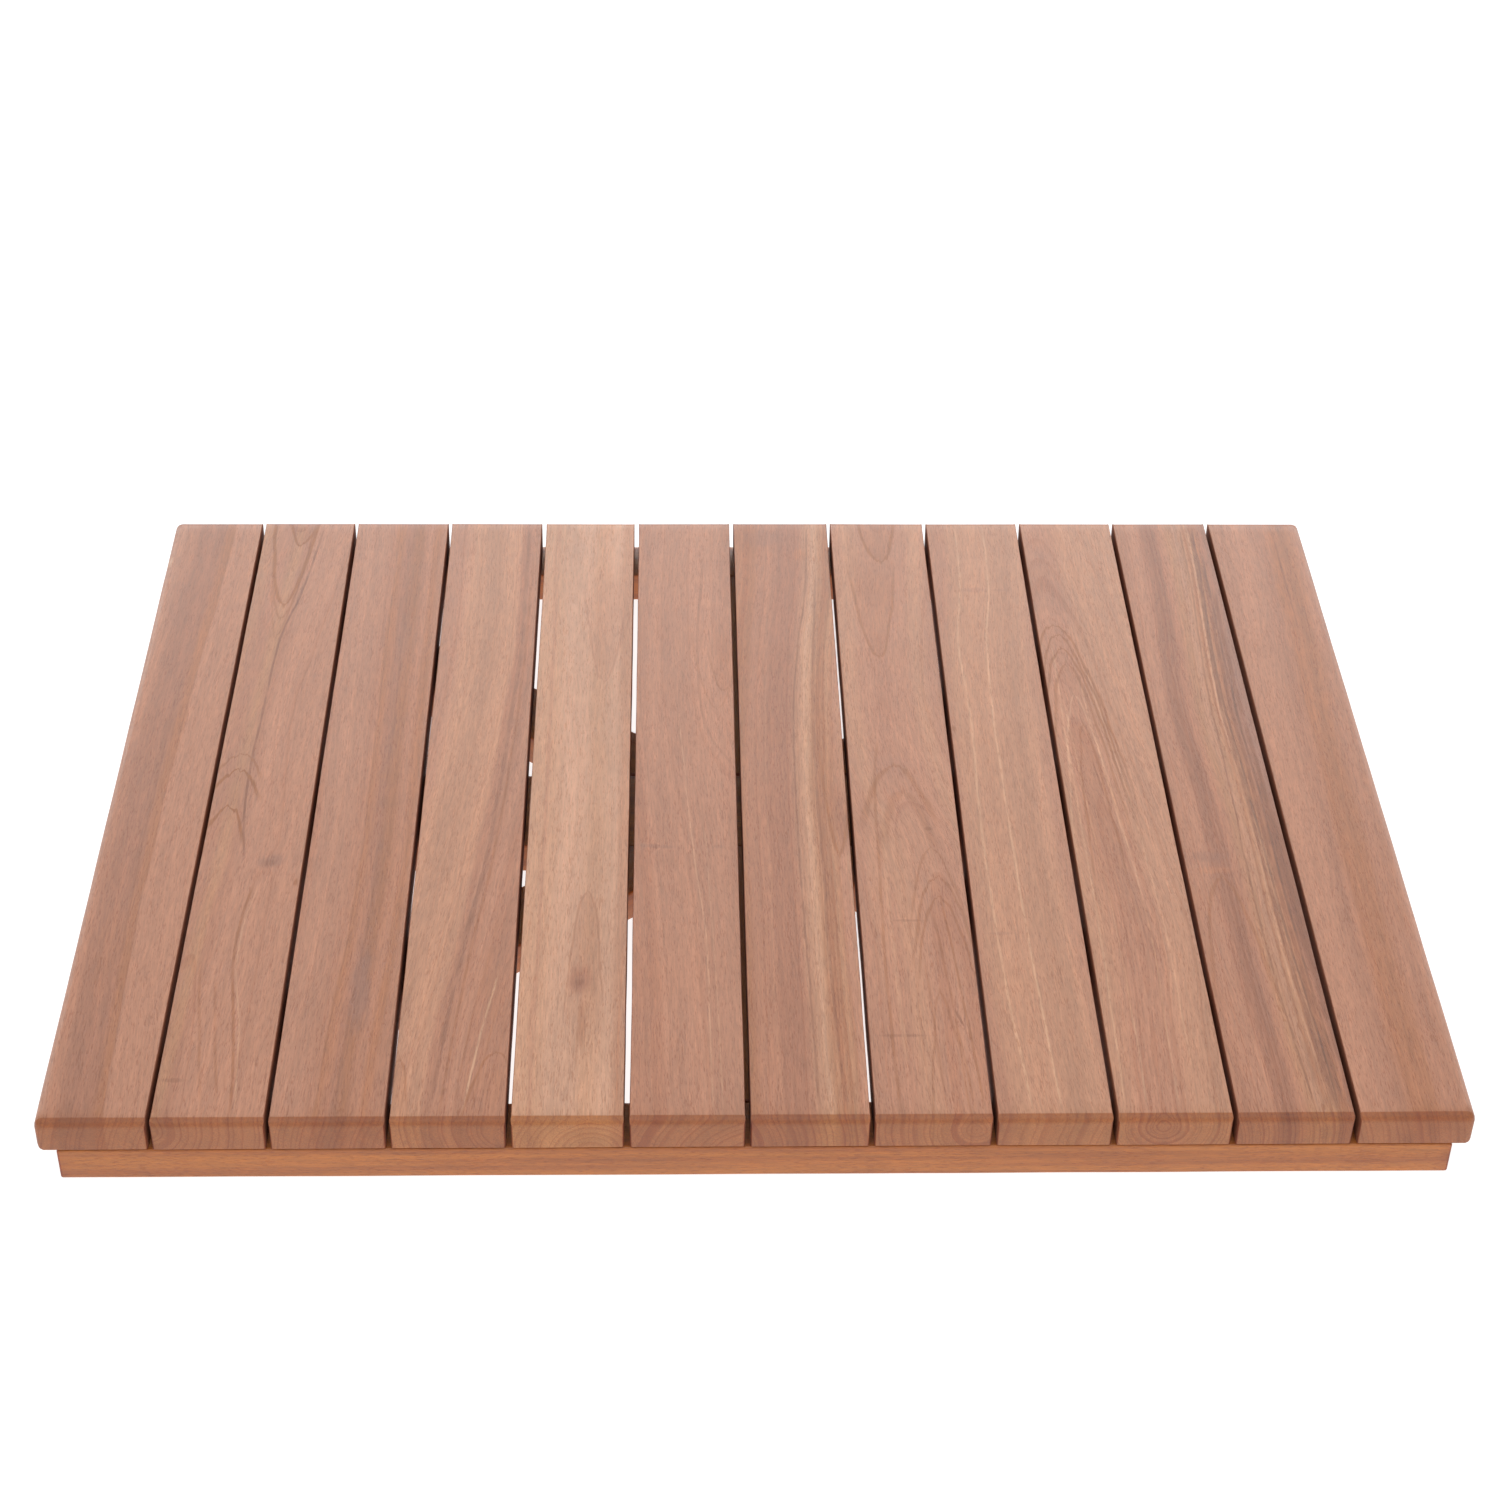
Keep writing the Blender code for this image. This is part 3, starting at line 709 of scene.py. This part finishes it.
def colour_across(bench, place, stops):
    made = bench.node("ShaderNodeValToRGB")
    bench.feed(made.inputs[0], place)
    ramp = made.color_ramp
    ramp.interpolation = "EASE"
    while len(ramp.elements) < len(stops):
        ramp.elements.new(0.5)
    for element, (position, colour) in zip(ramp.elements, stops):
        element.position = position
        element.color = opaque(colour)
    return made.outputs[0]


def new_material(name):
    material = bpy.data.materials.new(name)
    material.use_nodes = True
    bench = Bench(material.node_tree)
    shader = material.node_tree.nodes["Principled BSDF"]
    shader.inputs["Specular IOR Level"].default_value = SHEEN_LEVEL
    return material, bench, shader


def grain_and_finish(b, shader, colour, figure, late_share, way, bump, edge=0.0):
    """Lay rings, fibres and pores over a plank's own colour, then the sanded finish."""
    end_face = end_mask(b, way, 0.04, 0.20)
    band = b.between(figure["Band"], 0.30, 0.70, *BAND_SHADE)
    cloud = b.between(figure["Weave"], 0.30, 0.70, *CLOUD_SHADE, "LINEAR")
    fibre = b.between(figure["Fibre"], 0.25, 0.75, *FIBRE_SHADE, "LINEAR")
    shade = b.times(b.times(band, cloud), fibre)
    colour = b.blend(1.0, colour, b.join(shade, shade, shade), "MULTIPLY")
    strength = b.times(b.between(figure["Year"], 0.2, 1.0, 0.15, 1.0), late_share)
    strength = b.add(strength, b.times(end_face, END_LATE_SHARE))
    colour = b.blend(b.times(figure["Late Wood"], strength), colour,
                     b.blend(1.0, colour, opaque(LATE_WOOD), "MULTIPLY"))
    pore_colour = b.blend(1.0, colour, opaque(PORE_WOOD), "MULTIPLY")
    colour = b.blend(b.times(figure["Pores"], PORE_SHARE), colour, pore_colour)
    # End grain darkens the ends; on the rounded ends, from the first slight tilt on, part of the
    # darkening is painted shade.
    end_grain_and_shade_tone = b.blend(end_mask(b, way, 0.90, 0.99), opaque(ROUNDED_END_GRAIN_AND_SHADE), opaque(SAWN_END))
    end_grain_and_shade_colour = b.blend(1.0, colour, end_grain_and_shade_tone, "MULTIPLY")
    colour = b.blend(end_face, colour, end_grain_and_shade_colour)
    b.feed(shader.inputs["Base Color"], colour)

    dull = b.between(figure["Fibre"], 0.3, 0.7, *ROUGHNESS, "LINEAR")
    coarser = b.add(b.times(end_face, END_ROUGHER), b.times(edge, EDGE_ROUGHER))
    b.feed(shader.inputs["Roughness"], b.add(dull, coarser))
    height = b.less(figure["Fibre"], figure["Pores"])
    height = b.add(height, b.times(figure["Late Wood"], LATE_WOOD_RISE))
    relief = b.node("ShaderNodeBump")
    b.feed(relief.inputs["Strength"], bump)
    b.feed(relief.inputs["Distance"], RELIEF)
    b.feed(relief.inputs["Height"], height)
    b.feed(shader.inputs["Normal"], relief.outputs[0])


def end_mask(bench, way, start, full):
    """1 where a face looks along the given way. Along the grain it marks the end grain, where the
    cut fibres show, darkened partly by painted shade; across the boards it marks their sides, which
    get painted shade in the gaps.
    """
    normal = bench.node("ShaderNodeTexCoord").outputs["Normal"]
    turned = bench.node("ShaderNodeVectorMath", operation="DOT_PRODUCT")
    bench.feed(turned.inputs[0], normal)
    bench.feed(turned.inputs[1], way)
    return bench.between(bench.maths("ABSOLUTE", turned.outputs["Value"]), start, full)


def board_material(number, low, high):
    """Teak for one board, with the figure that this board shows."""
    sawn = BOARDS[number - 1]
    material, b, shader = new_material(f"teak_board_{number:02d}")
    centre = (low + high) / 2
    place = b.node("ShaderNodeMapping")
    b.feed(place.inputs["Vector"], b.node("ShaderNodeTexCoord").outputs["Object"])
    place.inputs["Location"].default_value = (-centre.x, -centre.y, -high.z)
    on_board = place.outputs[0]
    x, y, z = b.split(on_board)
    straight = b.less(x, course(b, y, sawn["flow"]))

    ragged = b.noise(b.join(b.times(straight, 260.0), b.times(y, 14.0), float(number)),
                     1.0, 4.0, 0.6)
    streaky = b.times(b.less(ragged["Fac"], 0.5), STREAK)
    colour_place = b.add(b.maths("DIVIDE", straight, high.x - low.x), b.add(streaky, 0.5))
    colour = colour_across(b, colour_place, sawn["stops"])

    push = 0.0
    for across, along, half_width, half_length, tone, strength, tilt in sawn["marks"]:
        spot = use_group(b, MARK, Vector=on_board, Across=across * MM, Along=along * MM,
                         Half_Width=half_width * MM, Half_Length=half_length * MM,
                         Soft=0.65, Ragged=0.45, Tilt=tilt)
        colour = b.blend(b.times(spot["Mask"], strength), colour, opaque(tone))
        if strength > STRONG_MARK:
            push = b.add(push, b.times(spot["Bulge"], half_width * 0.35 * MM))

    from_heart = b.join(b.less(straight, sawn["axis"] * MM), y, z)
    figure = use_group(b, FIGURE, Vector=from_heart, Heart_Depth=course(b, y, sawn["deep"]),
                       Ring=sawn["ring"] * MM, Wander=sawn["wander"] * MM, Push=push,
                       Seed=number * BOARD_SEED_STEP)
    for stations, line_width, tone, strength, start, stop in sawn["lines"]:
        line = use_group(b, VEIN, Across=x, Along=y, Place=course(b, y, stations),
                         Width=line_width * MM, Start=start * MM, Stop=stop * MM,
                         Seed=number + stations[0] * 0.37)
        colour = b.blend(b.times(line["Mask"], strength), colour, opaque(tone))
    for across, along, half_width, reach, line_width, tone, strength, inside in sawn["arches"]:
        arch = use_group(b, ARCH, Across=x, Along=y, Tip_Across=across * MM,
                         Tip_Along=along * MM, Half_Width=half_width * MM, Reach=reach * MM,
                         Line=line_width * MM, Seed=along * 0.1)
        share = b.maths("MAXIMUM", b.times(arch["Mask"], strength),
                        b.times(arch["Inside"], inside))
        colour = b.blend(share, colour, opaque(tone))
    # Painted shade: the long sides of the boards, which face each other across the gaps, are
    # darkened (and made rougher); the outer sides of the two end boards are left out.
    edge = end_mask(b, (1, 0, 0), 0.30, 0.80)
    if number in (1, len(BOARDS)):
        inward = 1.0 if number == 1 else -1.0
        edge = b.times(edge, b.between(b.times(x, inward), -MM, MM))
    colour = b.blend(edge, colour, b.blend(1.0, colour, opaque(GAP_SIDE_SHADE), "MULTIPLY"))
    grain_and_finish(b, shader, colour, figure, sawn["late"], (0, 1, 0),
                     BOARD_BUMP, edge)
    return material


def frame_material(name, centre, angle, seed):
    """Plainer, redder teak of the frame, its grain turned along the piece."""
    material, b, shader = new_material(name)
    place = b.node("ShaderNodeMapping", vector_type="TEXTURE")
    b.feed(place.inputs["Vector"], b.node("ShaderNodeTexCoord").outputs["Object"])
    place.inputs["Location"].default_value = centre
    place.inputs["Rotation"].default_value = (0.0, 0.0, angle)
    x, y, z = b.split(place.outputs[0])
    from_heart = b.join(b.add(x, 0.045), y, z)
    figure = use_group(b, FIGURE, Vector=from_heart, Heart_Depth=0.03, Ring=0.0045,
                       Wander=0.006, Push=0.0, Seed=seed)
    tone = b.noise(b.join(b.times(x, 130.0), b.add(b.times(y, 3.5), seed), b.times(z, 260.0)),
                   1.0, 4.0)["Fac"]
    colour = b.blend(b.between(tone, 0.40, 0.66), opaque(RAIL_LIGHT), opaque(RAIL_DARK))
    way = (math.sin(-angle), math.cos(angle), 0.0)
    grain_and_finish(b, shader, colour, figure, FRAME_LATE_SHARE, way, FRAME_BUMP)
    return material


def steel_material():
    material, b, shader = new_material("screw_steel")
    where = b.node("ShaderNodeTexCoord").outputs["Object"]
    scuff = b.noise(where, 900.0, 3.0)["Fac"]
    b.feed(shader.inputs["Base Color"],
           b.blend(scuff, opaque(STEEL_DARK), opaque(STEEL_LIGHT)))
    shader.inputs["Metallic"].default_value = 1.0
    b.feed(shader.inputs["Roughness"], b.between(scuff, 0.3, 0.7, 0.24, 0.42, "LINEAR"))
    return material


# ----------------------------------------------------------------------- pieces

def make_board(number, screws):
    node = f"slat_{number:02d}"
    low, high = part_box(node)
    centre = (low + high) / 2
    board = block(f"board_{number:02d}", low, high)
    free_side = {1: -1, BOARD_COUNT: 1}.get(number, 0)

    def radius(middle, run):
        on_top = middle.z > centre.z
        on_free_side = (middle.x - centre.x) * free_side > SIDE_ZONE
        if abs(run.x) > 0.5:
            return END_ROUND if on_top else SHARP_ARRIS
        if abs(run.z) > 0.5:
            return CORNER_ROUND if on_free_side else END_ARRIS
        if on_free_side:
            return END_ROUND if on_top else UNDERSIDE_ROUND
        return ARRIS if on_top else SHARP_ARRIS

    ease_edges(board, radius, END_ROUND, ROUND_STEPS)
    hand_planed(board, 1, BOARD_CUTS, BOARD_WAVE, number)
    sink_screws(board, [place for place in screws if low.x < place.x < high.x])
    finish_piece(board, board_material(number, low, high), "board_teak", node)


def screw_places():
    """The middle of each screw's head, at its lowest point."""
    places = {}
    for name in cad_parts:
        if name.startswith("screw_"):
            low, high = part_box(name)
            middle = (low + high) / 2
            places[name] = Vector((middle.x, middle.y, low.z))
    return places


def drum(name, radius, bottom, top, sides):
    deselect()
    bpy.ops.mesh.primitive_cone_add(
        vertices=sides, radius1=radius, radius2=radius, depth=top - bottom,
        location=(0.0, 0.0, (bottom + top) / 2))
    made = bpy.context.object
    made.name = name
    bpy.ops.object.transform_apply(location=True, rotation=True, scale=True)
    return made


def make_sink():
    """The countersunk hole that a screw goes in, as a cutter at the origin."""
    flare = HEAD_RADIUS + SINK_CLEARANCE
    bore = SHANK_RADIUS + SINK_CLEARANCE
    sink = drum("sink", flare, -CUT_OVERRUN, RIM_HEIGHT, SINK_SIDES)
    select_faces(sink, looks_up)
    pull_up(HEAD_HEIGHT - RIM_HEIGHT, bore / flare)
    pull_up(SCREW_LENGTH, 1.0)
    bpy.ops.object.mode_set(mode="OBJECT")
    return sink


def sink_screws(timber, places):
    """Drill the timber from below at each of these places, countersunk at the foot."""
    if not places:
        return
    model = make_sink()
    copies = [model.copy() for _ in places]
    for copy, place in zip(copies, places):
        copy.data = model.data.copy()
        copy.data.transform(Matrix.Translation(place))
        bpy.context.scene.collection.objects.link(copy)
    bpy.data.objects.remove(model)
    take(copies[0])
    for copy in copies:
        copy.select_set(True)
    if len(copies) > 1:
        bpy.ops.object.join()
    apply_modifier(timber, "BOOLEAN", operation="DIFFERENCE", solver="MANIFOLD", object=copies[0])
    bpy.data.objects.remove(copies[0])


def make_bar(node, axis, screws, seed):
    """A straight bar of the frame, its grain along the axis."""
    low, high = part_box(node)
    bar = block(f"{node}_timber", low, high)
    ease_edges(bar, lambda middle, run: FRAME_ARRIS, FRAME_ARRIS, FRAME_STEPS)
    hand_planed(bar, axis, BAR_CUTS, BAR_WAVE, seed)
    sink_screws(bar, screws)
    turn = -math.pi / 2 if axis == 0 else 0.0
    material = frame_material(f"teak_{node}", (low + high) / 2, turn, seed)
    finish_piece(bar, material, "frame_teak", node)


def make_brace(node, side, end, screws, seed):
    """One arm of the diagonal cross, sawn off along the sides of its bay."""
    low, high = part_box(node)
    turn = math.atan(BRACE_SLOPE) * side * end
    reach = high.x if side > 0 else -low.x
    brace = block(f"{node}_timber", (-reach * 2, -BRACE_WIDTH / 2, low.z),
                  (reach * 2, BRACE_WIDTH / 2, high.z))
    brace.rotation_euler = (0.0, 0.0, turn)
    bpy.ops.object.transform_apply(location=True, rotation=True, scale=True)
    for corner, way in ((low, -1), (high, 1)):
        for axis in (0, 1):
            take(brace)
            bpy.ops.object.mode_set(mode="EDIT")
            bpy.ops.mesh.select_all(action="SELECT")
            normal = [0.0, 0.0, 0.0]
            normal[axis] = way
            bpy.ops.mesh.bisect(plane_co=corner, plane_no=normal, use_fill=True,
                                clear_outer=True)
            bpy.ops.object.mode_set(mode="OBJECT")
    apply_modifier(brace, "BEVEL", limit_method="ANGLE", width=FRAME_ARRIS,
                   segments=FRAME_STEPS)
    sink_screws(brace, screws)
    along = turn - math.pi / 2
    material = frame_material(f"teak_{node}", (low + high) / 2, along, seed)
    finish_piece(brace, material, "frame_teak", node)


def make_screw(material):
    """One countersunk screw, head down at the origin, with its thread and recess."""
    screw = drum("screw", HEAD_RADIUS, 0.0, RIM_HEIGHT, SCREW_SIDES)
    select_faces(screw, looks_up)
    pull_up(HEAD_HEIGHT - RIM_HEIGHT, CORE_RADIUS / HEAD_RADIUS)
    pull_up(SCREW_LENGTH - HEAD_HEIGHT - POINT_LENGTH, 1.0)
    pull_up(POINT_LENGTH, POINT_SHARE)
    bpy.ops.object.mode_set(mode="OBJECT")
    for turn in (0.0, math.pi / 2):
        wing = block("recess", (-RECESS_REACH, -RECESS_HALF, -CUT_OVERRUN),
                     (RECESS_REACH, RECESS_HALF, RECESS_DEPTH))
        wing.rotation_euler = (0.0, 0.0, turn)
        bpy.ops.object.transform_apply(location=True, rotation=True, scale=True)
        select_faces(wing, looks_up)
        bpy.ops.transform.resize(value=(RECESS_TAPER, RECESS_TAPER, 1.0),
                                 center_override=(0, 0, 0))
        bpy.ops.object.mode_set(mode="OBJECT")
        apply_modifier(screw, "BOOLEAN", operation="DIFFERENCE", solver="EXACT", object=wing)
        bpy.data.objects.remove(wing)

    thread = make_thread()
    take(screw)
    thread.select_set(True)
    bpy.ops.object.join()
    screw.data.materials.clear()
    screw.data.materials.append(material)
    return screw


def make_thread():
    """A three-cornered ridge wound up the screw's core."""
    deselect()
    bpy.ops.mesh.primitive_circle_add(vertices=3, radius=THREAD_DEPTH, fill_type="NGON",
                                      location=(CORE_RADIUS, 0.0, HEAD_HEIGHT + THREAD_PITCH),
                                      rotation=(math.pi / 2, 0.0, 0.0))
    thread = bpy.context.object
    bpy.ops.object.transform_apply(location=True, rotation=True, scale=True)
    apply_modifier(thread, "SCREW", axis="Z", angle=math.tau, iterations=THREAD_TURNS,
                   screw_offset=THREAD_PITCH, steps=SCREW_SIDES, render_steps=SCREW_SIDES,
                   use_merge_vertices=False)
    take(thread)
    bpy.ops.object.mode_set(mode="EDIT")
    bpy.ops.mesh.select_all(action="SELECT")
    bpy.ops.mesh.normals_make_consistent(inside=False)
    bpy.ops.object.mode_set(mode="OBJECT")
    return thread


def place_screw(model, node, place, turn):
    screw = model.copy()
    screw.data = model.data.copy()
    screw.name = f"{node}_steel"
    screw.data.name = screw.name
    bpy.context.scene.collection.objects.link(screw)
    screw.data.transform(Matrix.Translation(place) @ Matrix.Rotation(turn, 4, "Z"))
    take(screw)
    bpy.ops.object.shade_smooth_by_angle(angle=SMOOTH_ANGLE)
    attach(screw, BODY)
    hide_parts(node)


# --------------------------------------------------------------------- assembly

screws = screw_places()


def screws_in(start):
    return [place for name, place in screws.items() if name.startswith(start)]


for number in range(1, BOARD_COUNT + 1):
    make_board(number, screws.values())

for node, axis, start, seed in BARS:
    make_bar(node, axis, screws_in(start), seed)

seed = FIRST_BRACE_SEED
for end_name, end in (("front", -1), ("rear", 1)):
    for side_name, side in (("left", -1), ("right", 1)):
        node = f"brace_{end_name}_{side_name}"
        make_brace(node, side, end, screws_in(f"screw_{node}"), seed)
        seed += BRACE_SEED_STEP

screw_model = make_screw(steel_material())
for index, (node, place) in enumerate(screws.items()):
    place_screw(screw_model, node, place, index * SCREW_TURN)
bpy.data.objects.remove(screw_model)


# ----------------------------------------------------------------------- studio

def make_floor():
    deselect()
    bpy.ops.mesh.primitive_plane_add(size=FLOOR_SIZE, location=(0.0, 0.0, -FLOOR_DROP))
    floor = bpy.context.object
    floor.name = "studio_floor"
    material, _, shader = new_material("studio_paper")
    shader.inputs["Base Color"].default_value = FLOOR_GREY
    shader.inputs["Roughness"].default_value = 1.0
    shader.inputs["Specular IOR Level"].default_value = 0.0
    shader.inputs["Emission Color"].default_value = WHITE
    shader.inputs["Emission Strength"].default_value = FLOOR_GLOW
    floor.data.materials.append(material)


def make_world(strength):
    world = bpy.data.worlds.new("studio")
    bpy.context.scene.world = world
    world.use_nodes = True
    bench = Bench(world.node_tree)
    behind = world.node_tree.nodes["Background"]
    seen = bench.node("ShaderNodeLightPath").outputs["Is Camera Ray"]
    behind.inputs["Color"].default_value = WHITE
    bench.feed(behind.inputs["Strength"], bench.between(seen, 0.0, 1.0, strength, 1.0, "LINEAR"))


def make_softbox(name, place, target, size, radiance):
    lamp = bpy.data.lights.new(name, "AREA")
    lamp.shape = "RECTANGLE"
    lamp.size, lamp.size_y = size
    lamp.energy = radiance * size[0] * size[1] * math.pi
    box = bpy.data.objects.new(name, lamp)
    bpy.context.scene.collection.objects.link(box)
    box.location = place
    box.rotation_euler = (Vector(target) - Vector(place)).to_track_quat("-Z", "Y").to_euler()
    box.visible_camera = False


def make_camera():
    data = bpy.data.cameras.new("camera")
    data.lens = LENS
    data.sensor_width = SENSOR
    camera = bpy.data.objects.new("camera", data)
    bpy.context.scene.collection.objects.link(camera)
    aim = (Matrix.Rotation(math.radians(-CAMERA_YAW), 4, "Z")
           @ Matrix.Rotation(math.radians(90 - CAMERA_PITCH), 4, "X")
           @ Matrix.Rotation(math.radians(CAMERA_ROLL), 4, "Z"))
    camera.matrix_world = Matrix.Translation(CAMERA_PLACE) @ aim
    bpy.context.scene.camera = camera


make_floor()
make_world(AIR_LIGHT)
make_softbox("overhead", place=(0.0, -0.5, 2.0), target=(0.0, 0.0, 0.0), size=(2.6, 2.0),
             radiance=1.11)
make_softbox("backdrop", place=(0.0, 2.6, 0.9), target=(0.0, 0.0, 0.05), size=(6.0, 0.8),
             radiance=3.8)
make_softbox("front_fill", place=(0.0, -2.2, 1.4), target=(0.0, 0.0, 0.05), size=(3.0, 1.2),
             radiance=0.3)
make_camera()
bpy.context.scene.view_settings.view_transform = "Standard"
